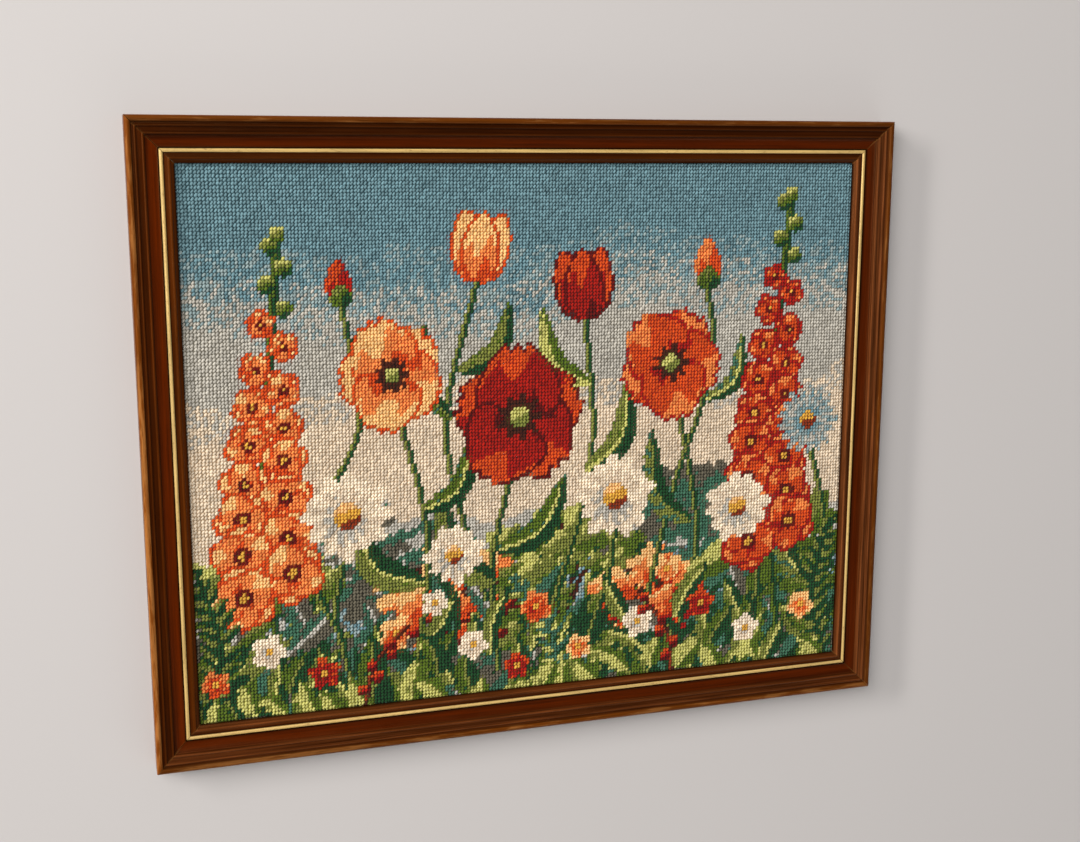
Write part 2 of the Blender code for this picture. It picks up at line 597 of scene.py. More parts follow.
def work_petal(
    chart,
    foot,
    angle,
    length,
    half_width,
    wools,
    outline=None,
    notch=0.0,
    lean=0.0,
    lift=0.0,
    broad=0.55,
):
    """A petal from its foot outwards, darker at the foot.

    The outline's wool works its rim, and notch cuts into its tip. Lean makes one side lighter than the
    other, lift makes all of it lighter, and broad sets how near the tip it is widest.
    """
    chart = chart.near([foot, onward(foot, angle, length)], half_width + 2)
    dx, dy = chart.away_from(foot)
    along = (dx * cos(angle) + dy * sin(angle)) / length
    across = -dx * sin(angle) + dy * cos(angle)
    share = np.clip(along, 0, 1)
    tip = 1 - notch * np.exp(-((across / (0.28 * half_width)) ** 2)) + 0.05 * np.cos(across * 1.4)
    edge = half_width * np.sin(pi * share**broad) ** 0.55
    inside = (along > 0) & (along < tip) & (np.abs(across) < edge)
    folds = 0.11 * np.sin(across / half_width * 7 + share * 2)
    tone = 0.14 + 0.72 * share + folds + lean * across / half_width + lift - 0.25 * (share > 0.93)
    chart.lay(inside, tone, wools)
    if outline:
        rim = inside & ((np.abs(across) > edge - 1.0) | (along > tip - 1.2 / length))
        chart.lay(rim, tone, (outline,))


def work_disc(chart, centre, radius, wools, light=0.7):
    """A round thing lit from its upper left: a heart, a berry or a seed."""
    chart = chart.near([centre], radius + 1)
    dx, dy = chart.away_from(centre)
    chart.lay(np.hypot(dx, dy) < radius, 0.5 + light * (dy - 0.4 * dx) / radius, wools)


# A bloom's five petals, the back ones first
PETAL_ORDER = (0, 2, 4, 1, 3)


def work_poppy(chart, centre, radius, wools, outline, turn=0.0):
    """A five-petalled bloom from the front: its petals, then the dark eye and its seeds."""
    for number in PETAL_ORDER:
        angle = turn + number * 2 * pi / 5
        lean = 0.12 if number % 2 else -0.12
        reach = radius * (1.0 if number % 2 else 0.95)
        work_petal(chart, centre, angle, reach, radius * 0.60, wools, outline, notch=0.10, lean=lean)
    near = chart.near([centre], radius * 0.4)
    dx, dy = near.away_from(centre)
    far = np.hypot(dx, dy)
    spokes = np.cos(np.arctan2(dy, dx) * 9)
    near.lay(far < radius * (0.26 + 0.06 * spokes), far, ("bark",))
    work_disc(chart, centre, radius * 0.14, ("moss", "lime"))


def work_daisy(chart, centre, radius, petals, turn=0.2):
    """Narrow white petals of uneven length around a round heart."""
    for number in range(petals):
        angle = turn + number * 2 * pi / petals
        reach = radius * (0.92 + 0.08 * cos(number * 2.4))
        lift = 0.06 + 0.14 * sin(angle)
        work_petal(chart, centre, angle, reach, radius * 0.215, WHITE, lean=0.45, lift=lift, broad=1.25)
    work_disc(chart, centre, radius * 0.28, ("chestnut", "gold", "gold", "peach"), 0.6)


def work_aster(chart, centre, radius, wools, rays=17):
    """A ring of narrow rays under a shorter, lighter one."""
    for ring, share in ((0, 1.0), (1, 0.72)):
        looks = {"lift": 0.15 * ring, "lean": 0.3, "broad": 1.3}
        for number in range(rays):
            angle = (number + 0.5 * ring) * 2 * pi / rays
            work_petal(chart, centre, angle, radius * share, radius * 0.13, wools, **looks)
    work_disc(chart, centre, radius * 0.25, ("chestnut", "gold"))


def work_small_blossom(chart, centre, radius, wools, turn=0.0):
    for number in range(5):
        angle = turn + number * 2 * pi / 5
        work_petal(chart, centre, angle, radius, radius * 0.42, wools, lift=0.15 * sin(angle), broad=0.9)
    work_disc(chart, centre, max(0.26 * radius, 1.0), ("gold",))


def work_tulip(chart, foot, angle, length, wools, outline):
    """A cup of three pointed petals from the side."""
    wide = length * 0.30
    for spread, share, lean in ((0.30, 0.98, 0.2), (-0.30, 0.98, -0.2), (0.0, 0.94, 0.12)):
        turn = angle + spread
        work_petal(chart, foot, turn, length * share, wide, wools, outline, lean=lean, broad=0.75)


def work_bud(chart, foot, angle, length, wools):
    """A closed bloom in its green cup."""
    work_petal(chart, foot, angle, length, length * 0.30, wools, lean=0.25, broad=0.8)
    work_petal(chart, foot, angle, length * 0.45, length * 0.27, LEAF_GREEN, lean=0.3, broad=0.6)


def work_hollyhock(chart, stem, blooms, radius, wools, outline):
    """A tall stem crowded with open blooms, the largest low down, and with green buds at its tip."""
    line = smooth_line(stem)
    work_stem(chart, stem, 1.2, ("pine", "fern"))
    for number in reversed(range(blooms + 4)):
        share = 0.26 + 0.72 * number / (blooms + 3)
        x, y = line[int(share * (len(line) - 1))]
        side = 1 if number % 2 else -1
        size = radius * (1.0 - 0.62 * number / blooms)
        centre = (x + side * 0.72 * size, y + chart.random.uniform(-0.8, 0.8))
        if number < blooms:
            turn = chart.random.uniform(0, 2 * pi)
            for petal in PETAL_ORDER:
                angle = turn + petal * 2 * pi / 5
                looks = {"notch": 0.08, "lean": 0.15, "lift": 0.10 * sin(angle)}
                work_petal(chart, centre, angle, size, size * 0.62, wools, outline, **looks)
            work_disc(chart, centre, 0.26 * size, ("wine",))
            work_disc(chart, centre, 0.12 * size, ("gold",))
        else:
            work_disc(chart, centre, 2.6, ("pine", "fern", "moss", "lime"), 0.5)
    work_disc(chart, line[-1], 2.2, ("fern", "moss", "lime"), 0.5)


def work_shrub(chart, centre, reach_x, reach_y, dabs, size, wools, twigs=None):
    """A shrub of ragged leafy dabs, dark where they lie low and to the right, over twigs of one wool."""
    random = chart.random
    if twigs:
        for turn in np.linspace(0.35, pi - 0.35, 5):
            tip = (centre[0] + 0.8 * reach_x * cos(turn), centre[1] + 0.8 * reach_y * sin(turn))
            middle = (centre[0] + 0.3 * reach_x * cos(turn), centre[1] + 0.1 * reach_y * sin(turn))
            work_stem(chart, [(centre[0], centre[1] - reach_y), middle, tip], 0.8, (twigs,))
    for _ in range(dabs):
        turn, far = random.uniform(0, 2 * pi), random.uniform(0, 1) ** 0.5
        x, y = centre[0] + far * reach_x * cos(turn), centre[1] + far * reach_y * sin(turn)
        radius = size * random.uniform(0.6, 1.2)
        near = chart.near([(x, y)], 1.8 * radius + 1)
        dx, dy = near.away_from((x, y))
        lobes, phase = random.integers(3, 6), random.uniform(0, 2 * pi)
        edge = radius * (1 + 0.35 * np.cos(lobes * np.arctan2(dy, dx) + phase))
        light = 0.25 * (dy - 0.5 * dx) / radius + 0.30 * far * (sin(turn) - 0.5 * cos(turn))
        near.lay(np.hypot(0.8 * dx, dy) < edge, 0.5 + light + random.uniform(-0.22, 0.22), wools, 0.4)


def work_frond(chart, points, spread, wools):
    """A fern frond: a rib with pairs of narrow leaflets that shorten to its tip."""
    line = smooth_line(points)
    run = distance_along(line)
    way = np.gradient(line, axis=0)
    pairs = int(run[-1] / 4.2)
    for number in range(pairs):
        share = (number + 0.6) / pairs
        k = int(np.searchsorted(run, share * run[-1]))
        heading = np.arctan2(way[k, 1], way[k, 0])
        reach = spread * np.sin(pi * (0.16 + 0.80 * share)) ** 0.9
        for side in (-1, 1):
            tip = onward(line[k], heading + side * 0.95, reach)
            work_leaf(chart, [line[k], tip], 1.35, wools, rib=None)
    work_stem(chart, points, 0.7, (wools[0],))


def work_sprig(chart, points, berries, wools):
    """An arching twig with berries hung along it."""
    work_stem(chart, points, 0.7, ("bark", "chestnut"))
    line = smooth_line(points)
    for number in range(berries):
        x, y = line[int((0.25 + 0.72 * number / max(berries - 1, 1)) * (len(line) - 1))]
        side = 1 if number % 2 else -1
        work_disc(chart, (x + side * 1.8, y - 1.6), 1.9, wools)


def work_ground(chart):
    """Bands of blue, grey and beige that blend into one another and roll across the canvas."""
    roll = 7.0 * chart.drift(46, 30) + 2.6 * chart.drift(13, 9) + 1.1 * chart.drift(4, 3)
    height = (chart.y + roll) / chart.rows
    bands = (
        (-1.0, ("lake_blue",)),
        (0.14, ("lake_blue", "lake_blue", "mist_blue", "mist_blue", "silver_grey")),
        (0.24, ("silver_grey",)),
        (0.33, ("oatmeal",)),
        (0.55, ("silver_grey", "oatmeal")),
        (0.61, ("silver_grey",)),
        (0.69, ("mist_blue", "silver_grey", "silver_grey")),
        (0.74, ("lake_blue", "mist_blue", "mist_blue", "silver_grey")),
        (0.79, ("lake_blue", "lake_blue", "mist_blue")),
        (0.84, ("lake_blue",)),
    )
    for starts_at, wools in bands:
        chart.scatter(height >= starts_at, wools)


def work_undergrowth(chart):
    """Low speckled masses along the foot of the picture, some green and some brown."""
    top = 22 + 7 * chart.drift(26, 400) + 4 * chart.drift(9, 400)
    mass = chart.drift(11, 7)
    patch = 0.5 + 0.42 * mass + 0.25 * chart.drift(4, 3)
    low = chart.y < top
    chart.lay(low & (mass >= 0), patch, ("pine", "teal", "fern", "moss"), 0.5)
    chart.lay(low & (mass < 0), patch + 0.35, ("bark", "pine", "slate", "teal"), 0.5)


# Heaps of leaves, from the back to the front. Their feet reach up to the highest one, their lengths lie
# between the shortest and the longest, and teeth cut so far into their edges.
LeafHeap = namedtuple("LeafHeap", "count highest_foot shortest longest half_width teeth wools rib")
LEAF_HEAPS = (
    LeafHeap(16, 26, 14, 24, 3.4, 0.0, ("slate", "slate", "teal"), "silver_grey"),
    LeafHeap(18, 22, 13, 22, 3.6, 0.0, ("pine", "teal", "teal"), None),
    LeafHeap(34, 19, 13, 22, 3.8, 0.3, ("pine", "fern", "moss"), "lime"),
    LeafHeap(22, 10, 12, 19, 3.6, 0.0, ("pine", "pine", "fern"), "moss"),
    LeafHeap(22, 3, 10, 16, 3.8, 0.3, ("fern", "moss", "lime"), "lime"),
)


def work_leaf_heap(chart, heap):
    """Leaves that fan up from feet spread along the picture's lower edge, worked in no set order."""
    random = chart.random
    even = np.arange(heap.count) + random.uniform(-0.4, 0.4, heap.count)
    feet = even / heap.count * (chart.columns + 8) - 4
    for x in random.permutation(feet):
        y = random.uniform(-6, heap.highest_foot)
        turn = pi / 2 + random.uniform(-0.95, 0.95)
        length = random.uniform(heap.shortest, heap.longest)
        bend = random.uniform(-0.4, 0.4)
        middle = onward((x, y), turn, 0.5 * length)
        tip = onward(middle, turn + bend, 0.5 * length)
        half_width = heap.half_width * random.uniform(0.8, 1.15)
        work_leaf(chart, [(x, y), middle, tip], half_width, heap.wools, heap.rib, heap.teeth)


WINE_RED = ("wine", "crimson", "crimson", "rust", "rust")
FLAME = ("crimson", "rust", "rust", "apricot", "apricot")
CORAL = ("rust", "apricot", "peach", "peach")
SHELL = ("rust", "apricot", "apricot", "peach", "peach")
BLUE = ("pine", "lake_blue", "mist_blue", "silver_grey")
WHITE = ("silver_grey", "oatmeal", "cream", "cream")
LEAF_GREEN = ("pine", "fern", "moss")
BERRY_RED = ("wine", "crimson", "rust")
GREENS = (
    LEAF_GREEN,
    ("pine", "teal", "fern"),
    ("fern", "moss", "lime"),
    ("pine", "pine", "teal", "moss"),
)

# Stems, each from its foot to its bloom
STEMS = (
    [(92, 8), (90, 40), (98, 74)],
    [(150, 6), (158, 44), (150, 88)],
    [(66, 8), (70, 50), (60, 92)],
    [(120, 10), (128, 34), (130, 52)],
    [(46, 10), (42, 30), (46, 50)],
    [(44, 20), (34, 50), (50, 84), (46, 118)],
    [(176, 8), (180, 28), (174, 46)],
    [(108, 20), (122, 70), (120, 112)],
    [(88, 30), (76, 80), (86, 124)],
    [(196, 8), (204, 40), (196, 74)],
    [(140, 20), (150, 60), (162, 96), (160, 120)],
)

# Leaves on the tall stems, each with its curve from foot to tip and its half width
Leaf = namedtuple("Leaf", "curve half_width")
TALL_LEAVES = (
    Leaf([(91, 34), (78, 44), (74, 62)], 4.8),
    Leaf([(92, 44), (106, 50), (114, 66)], 4.6),
    Leaf([(154, 30), (170, 40), (172, 60)], 4.8),
    Leaf([(156, 48), (144, 58), (142, 78)], 4.2),
    Leaf([(69, 36), (54, 42), (48, 58)], 4.6),
    Leaf([(69, 58), (80, 64), (84, 80)], 3.8),
    Leaf([(9, 30), (20, 40), (24, 56)], 4.2),
    Leaf([(200, 24), (190, 36), (188, 54)], 4.2),
    Leaf([(120, 66), (132, 76), (134, 94)], 3.8),
    Leaf([(78, 84), (68, 96), (70, 112)], 3.4),
    Leaf([(122, 92), (110, 100), (106, 116)], 3.2),
    Leaf([(160, 86), (170, 92), (172, 106)], 3.0),
    Leaf([(80, 98), (92, 104), (96, 118)], 3.0),
)

# Each with its stem, how many blooms it has, the radius of the lowest one, its wools and its outline
HOLLYHOCKS = (
    ([(26, 4), (22, 60), (28, 138)], 15, 10.5, SHELL, "rust"),
    ([(188, 4), (182, 70), (188, 148)], 17, 10.5, FLAME, "crimson"),
)

# Shrubs behind the flowers: the middle, the reach to each side and up, the dabs, their size, and the wools
Shrub = namedtuple("Shrub", "centre reach_x reach_y dabs size wools twigs")
SHRUBS = (
    Shrub((52, 36), 30, 24, 90, 4.2, ("slate", "slate", "teal", "silver_grey"), None),
    Shrub((160, 38), 34, 26, 110, 4.2, ("pine", "teal", "teal", "slate"), None),
    Shrub((112, 34), 26, 22, 90, 4.0, ("pine", "fern", "moss", "lime"), "bark"),
    Shrub((76, 30), 20, 16, 46, 3.6, ("wine", "rust", "apricot", "peach"), "bark"),
    Shrub((20, 30), 22, 22, 60, 3.8, ("pine", "fern", "moss", "lime"), None),
    Shrub((196, 30), 18, 24, 60, 3.8, ("pine", "fern", "fern", "moss"), None),
    Shrub((142, 26), 16, 14, 36, 3.4, ("crimson", "rust", "apricot", "peach"), "bark"),
)

# Each with its middle, its radius and its wools
SMALL_BLOSSOMS = (
    ((60, 22), 5.5, CORAL),
    ((84, 16), 5.0, WHITE),
    ((104, 26), 5.5, FLAME),
    ((138, 18), 5.5, WHITE),
    ((160, 22), 5.0, WINE_RED),
    ((22, 20), 5.5, WHITE),
    ((196, 18), 5.0, CORAL),
    ((118, 12), 4.5, CORAL),
    ((38, 12), 5.0, WINE_RED),
    ((176, 12), 5.0, WHITE),
    ((72, 30), 4.5, WHITE),
    ((148, 34), 4.5, CORAL),
    ((6, 12), 4.5, FLAME),
    ((98, 8), 4.5, WINE_RED),
)


def work_design(chart):
    """The whole picture, from the ground forward."""
    work_ground(chart)
    work_undergrowth(chart)
    for shrub in SHRUBS:
        work_shrub(chart, *shrub)
    for heap in LEAF_HEAPS[:2]:
        work_leaf_heap(chart, heap)
    for curve in STEMS:
        work_stem(chart, curve)
    for number, leaf in enumerate(TALL_LEAVES):
        rib = "lime" if number % 3 else "moss"
        work_leaf(chart, leaf.curve, leaf.half_width, GREENS[number % 4], rib, 0.25 * (number % 2))
    for stem, blooms, radius, wools, outline in HOLLYHOCKS:
        work_hollyhock(chart, stem, blooms, radius, wools, outline)
    work_tulip(chart, (120, 112), 1.65, 22, WINE_RED, "wine")
    work_tulip(chart, (86, 124), 1.45, 21, CORAL, "rust")
    work_bud(chart, (160, 120), 1.6, 15, FLAME)
    work_bud(chart, (46, 118), 1.7, 13, WINE_RED)
    work_poppy(chart, (60, 98), 18, CORAL, "rust", turn=0.7)
    work_poppy(chart, (148, 98), 19, FLAME, "crimson", turn=1.1)
    work_poppy(chart, (99, 84), 23, WINE_RED, "wine", turn=0.35)
    work_aster(chart, (196, 78), 11, BLUE)
    for heap in LEAF_HEAPS[2:4]:
        work_leaf_heap(chart, heap)
    work_daisy(chart, (130, 58), 14, 13)
    work_daisy(chart, (46, 58), 14, 12, 0.5)
    work_daisy(chart, (172, 52), 12, 12, 0.1)
    work_daisy(chart, (78, 44), 10, 11, 0.3)
    work_frond(chart, [(206, 0), (200, 22), (206, 46)], 8, LEAF_GREEN)
    work_frond(chart, [(2, 0), (8, 22), (2, 46)], 8, LEAF_GREEN)
    work_frond(chart, [(112, 0), (108, 20), (96, 36)], 7, ("teal", "fern", "lime"))
    work_leaf_heap(chart, LEAF_HEAPS[4])
    for number, (centre, radius, wools) in enumerate(SMALL_BLOSSOMS):
        work_small_blossom(chart, centre, radius, wools, turn=number)
    work_sprig(chart, [(150, 0), (148, 14), (138, 28)], 6, BERRY_RED)
    work_sprig(chart, [(50, 0), (54, 14), (64, 24)], 6, BERRY_RED)


# The stitches


# A stitch in cross sections from its lower left tip: the share of its length, of its width, of its height
Section = namedtuple("Section", "along width height")
STITCH_SECTIONS = (
    Section(-0.02, 0.50, 0.12),
    Section(0.24, 1.00, 0.96),
    Section(0.76, 1.00, 0.96),
    Section(1.02, 0.50, 0.12),
)
ARCH_POINTS = 5

# How unevenly the hand works: the spread of each end's place, of the width and the relief as shares of
# their own, of the bow to one side, and of the roll about the stitch's length
PLACE_SPREAD = 0.13 * MM
WIDTH_SPREAD = 0.09
RELIEF_SPREAD = 0.16
BOW_SPREAD = 0.07 * MM
ROLL_SPREAD = 0.2

# The waves in which the canvas is pulled out of true: their lengths, and how far for a metre of length
PULL_WAVES = (0.22, 0.12, 0.06)
PULL_SHARE = 1.2 * MM

# A stitch's margin in its square of the baked map
BAKE_MARGIN = 0.06


def stitch_template():
    """One stitch of unit size: its points as (along, across, up), their strand places, and its triangles."""
    points, strand, faces = [], [], []
    for section in STITCH_SECTIONS:
        for step in range(ARCH_POINTS):
            around = step / (ARCH_POINTS - 1)
            across = -cos(pi * around) * section.width
            points.append((section.along, across, sin(pi * around) ** 0.8 * section.height))
            strand.append((section.along, around))
    for ring in range(len(STITCH_SECTIONS) - 1):
        for step in range(ARCH_POINTS - 1):
            corner = ring * ARCH_POINTS + step
            beyond = corner + ARCH_POINTS
            faces.append((corner, corner + 1, beyond + 1))
            faces.append((corner, beyond + 1, beyond))
    return np.array(points), np.array(strand), np.array(faces)


def canvas_pull(x, y, seed):
    """How far the hand's tension pulls the canvas mesh out of true at each place."""
    random = np.random.default_rng(seed)
    pull_x, pull_y = np.zeros_like(x), np.zeros_like(y)
    for length in PULL_WAVES:
        for pull in (pull_x, pull_y):
            turn, phase = random.uniform(0, 2 * pi, 2)
            pull += np.sin((x * cos(turn) + y * sin(turn)) * 2 * pi / length + phase) * length * PULL_SHARE
    return pull_x, pull_y


def work_stitches(name, columns, rows, chart, settings, random, material):
    """One mesh of the tent stitches at these columns and rows of the canvas."""
    unit_points, unit_strand, unit_faces = stitch_template()
    count = len(columns)
    wobble = settings.unevenness
    low_x = -chart.columns * settings.pitch_across / 2
    low_y = -chart.rows * settings.pitch_down / 2

    def holes(column, row):
        x = low_x + column * settings.pitch_across
        y = low_y + row * settings.pitch_down
        pull_x, pull_y = canvas_pull(x, y, settings.hand)
        return x + wobble * pull_x, y + wobble * pull_y

    start_x, start_y = holes(columns, rows)
    end_x, end_y = holes(columns + 1, rows + 1)
    astray = random.normal(0, PLACE_SPREAD * wobble, (4, count))
    start_x, start_y = start_x + astray[0] + settings.lean, start_y + astray[1]
    end_x, end_y = end_x + astray[2] - settings.lean, end_y + astray[3]
    length = np.hypot(end_x - start_x, end_y - start_y)
    way_x, way_y = (end_x - start_x) / length, (end_y - start_y) / length
    half_width = settings.half_width * (1 + wobble * random.normal(0, WIDTH_SPREAD, count))
    relief = settings.relief * (1 - wobble * np.abs(random.normal(0, RELIEF_SPREAD, count)))
    relief = np.minimum(relief, CANVAS_HIGH.z - STITCH_FOOT)
    bow = wobble * random.normal(0, BOW_SPREAD, count)
    roll = wobble * random.normal(0, ROLL_SPREAD, count)

    along, across, up = (unit_points[:, k][None, :] for k in range(3))
    swing = np.sin(pi * along)
    reach = along * length[:, None]
    aside = across * half_width[:, None] + swing * bow[:, None] + roll[:, None] * up * half_width[:, None]
    points = np.empty((count, len(unit_points), 3))
    points[..., 0] = start_x[:, None] + way_x[:, None] * reach - way_y[:, None] * aside
    points[..., 1] = start_y[:, None] + way_y[:, None] * reach + way_x[:, None] * aside
    points[..., 2] = STITCH_FOOT + up * relief[:, None]
    faces = unit_faces[None] + (np.arange(count) * len(unit_points))[:, None, None]
    mesh = mesh_from_arrays(name, points.reshape(-1, 3), faces.reshape(-1, 3))
    mesh.shade_smooth()

    add_strand_maps(mesh, count, unit_strand[unit_faces.ravel()], random)
    add_point_values(mesh, "dye", np.repeat(random.uniform(-1, 1, count), len(unit_points)))
    # Each point's share of its stitch's height, which darkens its foot as painted shade
    add_point_values(mesh, "crest", np.tile(unit_points[:, 2], count))
    return add_piece(name, mesh, material)


def add_strand_maps(mesh, count, corners, random):
    """A map with a square for each stitch, for baking, and one of its strand, whose plies start anywhere."""
    strand = np.tile(corners, (count, 1))
    inset = BAKE_MARGIN + (1 - 2 * BAKE_MARGIN) * strand
    strand[:, 1] += np.repeat(random.uniform(0, 1, count), len(corners))
    squares = int(np.ceil(np.sqrt(count)))
    number = np.repeat(np.arange(count), len(corners))
    corner = np.stack([number % squares, number // squares], 1)
    add_uv(mesh, "OFBake", (corner + inset) / squares)
    add_uv(mesh, "strand", strand)


def deep_tone(colour):
    """The tone of a wool low between its stitches, where little light reaches."""
    return tuple(0.6 * channel**1.8 for channel in colour)


def wool_finish(name, colour):
    """Twisted wool: plies that wind round the strand, fine fibres, a dye that takes unevenly, and painted
    shade towards each stitch's foot.
    """
    material, tree, shader = new_finish("wool_" + name, 0.92)
    strand = add_node(tree, "UVMap", uv_map="strand").outputs["UV"]
    place = object_place(tree)[0]
    along, around, _ = add_node(tree, "SeparateXYZ", {"Vector": strand}).outputs
    plies = wave(tree, maths(tree, "MULTIPLY_ADD", along, 2.2, around), 4 * pi)
    fibres = noise(tree, place, scale=5200, detail=3, roughness=0.6)
    clouds = noise(tree, place, scale=60, detail=3)

    shade = maths(tree, "MULTIPLY_ADD", point_value(tree, "dye"), 0.20, 1.0)
    shade = maths(tree, "ADD", shade, span(tree, clouds, 0.3, 0.7, -0.07, 0.07))
    shade = maths(tree, "ADD", shade, span(tree, fibres, 0.3, 0.7, -0.10, 0.10))
    shade = maths(tree, "ADD", shade, maths(tree, "MULTIPLY", plies, 0.05))
    # Painted shade: each stitch darkens to its wool's deep tone towards its foot, between its neighbours
    depth = span(tree, maths(tree, "MULTIPLY_ADD", plies, 0.06, point_value(tree, "crest")), 0.0, 0.85)
    coloured = blend_colours(tree, depth, opaque(deep_tone(colour)), opaque(colour))
    tree.links.new(shaded(tree, coloured, shade), shader.inputs["Base Color"])
    shader.inputs["Sheen Weight"].default_value = 0.12
    shader.inputs["Sheen Roughness"].default_value = 0.5
    shader.inputs["Specular IOR Level"].default_value = 0.15
    relief = maths(tree, "MULTIPLY_ADD", plies, 0.5, fibres)
    add_bump(tree, shader, relief, 0.5, 0.15 * MM)
    return material


def canvas_mesh(chart, settings, colours):
    """The canvas as a thin closed slab, each point in the print colour of the wool over it, darkened to that
    wool's deep tone as painted shade.
    """
    size = CANVAS_HIGH - CANVAS_LOW

    def stations(length, cells):
        within = length / 2 - CANVAS_ROUND
        return np.concatenate([[-length / 2], np.linspace(-within, within, cells + 1), [length / 2]])

    x, y = np.meshgrid(stations(size.x, chart.columns // 2), stations(size.y, chart.rows // 2))
    dip = np.full_like(x, CANVAS_ROUND)
    dip[1:-1, 1:-1] = 0
    top = np.stack([x, y, CANVAS_LOW.z + BARE_CANVAS_THICKNESS - dip], -1)
    bottom = np.stack([x, y, CANVAS_LOW.z + dip], -1)
    cells = np.arange(x.size).reshape(x.shape)
    upper = np.stack([cells[:-1, :-1], cells[:-1, 1:], cells[1:, 1:], cells[1:, :-1]], -1).reshape(-1, 4)
    lower = upper[:, ::-1] + x.size
    border = np.concatenate([cells[0, :-1], cells[:-1, -1], cells[-1, :0:-1], cells[:0:-1, 0]])
    beyond = np.roll(border, -1)
    sides = np.stack([border + x.size, beyond + x.size, beyond, border], 1)
    points = np.concatenate([top.reshape(-1, 3), bottom.reshape(-1, 3)])
    mesh = mesh_from_arrays("ground_canvas", points, np.concatenate([upper, lower, sides]))

    # Painted shade: the print under each wool is that wool's deep tone, as dark as the holes between
    # stitches
    tones = np.array([opaque(deep_tone(getattr(colours, wool.name))) for wool in YARN_CARD])
    column = np.clip(x / settings.pitch_across + chart.columns / 2, 0, chart.columns - 1).astype(int)
    row = np.clip(y / settings.pitch_down + chart.rows / 2, 0, chart.rows - 1).astype(int)
    printed = tones[chart.wool[row, column]].reshape(-1, 4)
    attribute = mesh.attributes.new("printed", "FLOAT_COLOR", "POINT")
    attribute.data.foreach_set("color", np.concatenate([printed, printed]).astype(np.float32).ravel())
    return mesh


def canvas_finish(settings):
    """Stiff cotton canvas, its print in the wools' colours darkened as painted shade, as it shows in the
    holes between stitches.
    """
    material, tree, shader = new_finish("cotton_canvas", 0.9)
    place, x, y, _ = object_place(tree)
    across = wave(tree, x, 2 * pi / settings.pitch_across)
    down = wave(tree, y, 2 * pi / settings.pitch_down)
    threads = maths(tree, "MAXIMUM", across, down)
    fuzz = noise(tree, place, scale=2500, detail=3)
    shade = maths(tree, "MULTIPLY_ADD", span(tree, threads, -1.0, 1.0), fuzz, 0.6)
    printed = add_node(tree, "Attribute", attribute_name="printed").outputs["Color"]
    tree.links.new(shaded(tree, printed, shade), shader.inputs["Base Color"])
    add_bump(tree, shader, threads, 0.6, 0.2 * MM)
    return material


def worked_chart(settings):
    """The chart of the whole sight opening, with the stitches hidden under the lip, and its design drawn."""
    columns = round(2 * SIGHT_RIGHT / settings.pitch_across) + 2 * HIDDEN_STITCHES
    rows = round(2 * SIGHT_TOP / settings.pitch_down) + 2 * HIDDEN_STITCHES
    chart = Chart(columns, rows, settings.hand)
    work_design(chart)
    return chart


class NEEDLEPOINT_OT_canvas(bpy.types.Operator):
    """Stretch the ground canvas, its print darkened as painted shade, on its board"""

    bl_idname = "needlepoint.canvas"
    bl_label = "Stretch canvas"

    def execute(self, context):
        settings = context.scene.needlework
        mesh = canvas_mesh(worked_chart(settings), settings, context.scene.yarn_colours)
        piece = add_piece("ground_canvas", mesh, canvas_finish(settings))
        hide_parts("needlepoint")
        return {"FINISHED"}


class NEEDLEPOINT_OT_stitches(bpy.types.Operator):
    """Work the whole picture in tent stitch, one piece for each wool"""

    bl_idname = "needlepoint.stitches"
    bl_label = "Work stitches"

    def execute(self, context):
        settings = context.scene.needlework
        colours = context.scene.yarn_colours
        chart = worked_chart(settings)
        random = np.random.default_rng(settings.hand)
        for number, wool in enumerate(YARN_CARD):
            row, column = np.nonzero(chart.wool == number)
            if not len(row):
                continue
            material = wool_finish(wool.name, getattr(colours, wool.name))
            parts = -(-len(row) // MAX_STITCHES_IN_A_PIECE)
            for part, chosen in enumerate(np.array_split(np.arange(len(row)), parts)):
                name = f"stitches_{wool.name}" + (f"_{part + 1}" if parts > 1 else "")
                work_stitches(name, column[chosen], row[chosen], chart, settings, random, material)
        return {"FINISHED"}


# The moulding


# The groove of the gilt bead and the rabbet behind, which takes the canvas and its board
GROOVE_FLOOR = 10.7 * MM
GROOVE_OUTER_EDGE = 18.2 * MM
GROOVE_INNER_EDGE = 21.6 * MM
LIP_UNDERSIDE = 9.7 * MM
RABBET_WALL = 21.4 * MM

# Across the moulding's face, from the outer edge to the sight edge. Each member runs from where the last one
# ends to its own, in from the outer edge; its heights are above the back plane at its start and its end,
# and its rise is how far its middle stands above the straight line between them.
Member = namedtuple("Member", "name ends_at height_at_start height_at_end rise steps")
MOULDING_FACE = (
    Member("outer bead", 3.9 * MM, 16.2 * MM, 16.2 * MM, MOULDING_DEPTH - 16.2 * MM, 14),
    Member("first quirk", 4.9 * MM, 15.9 * MM, 15.9 * MM, 0, 1),
    Member("first reed", 6.7 * MM, 15.9 * MM, 15.8 * MM, 0.9 * MM, 8),
    Member("second quirk", 9.3 * MM, 15.6 * MM, 15.4 * MM, 0, 1),
    Member("second reed", 11.2 * MM, 15.2 * MM, 15.0 * MM, 1.0 * MM, 8),
    Member("cove", 12.2 * MM, 14.8 * MM, 14.3 * MM, -0.3 * MM, 4),
    Member("hollow band", GROOVE_OUTER_EDGE, 14.2 * MM, 12.9 * MM, -0.35 * MM, 8),
    Member("gilt groove", GROOVE_INNER_EDGE, GROOVE_FLOOR, GROOVE_FLOOR, 0, 1),
    Member("slip quirk", 23.3 * MM, 12.1 * MM, 12.1 * MM, 0, 1),
    Member("slip reed", 25.4 * MM, 12.1 * MM, 11.9 * MM, 0.7 * MM, 8),
    Member("slip fall", MOULDING_WIDTH, 11.8 * MM, 10.9 * MM, -0.15 * MM, 4),
)

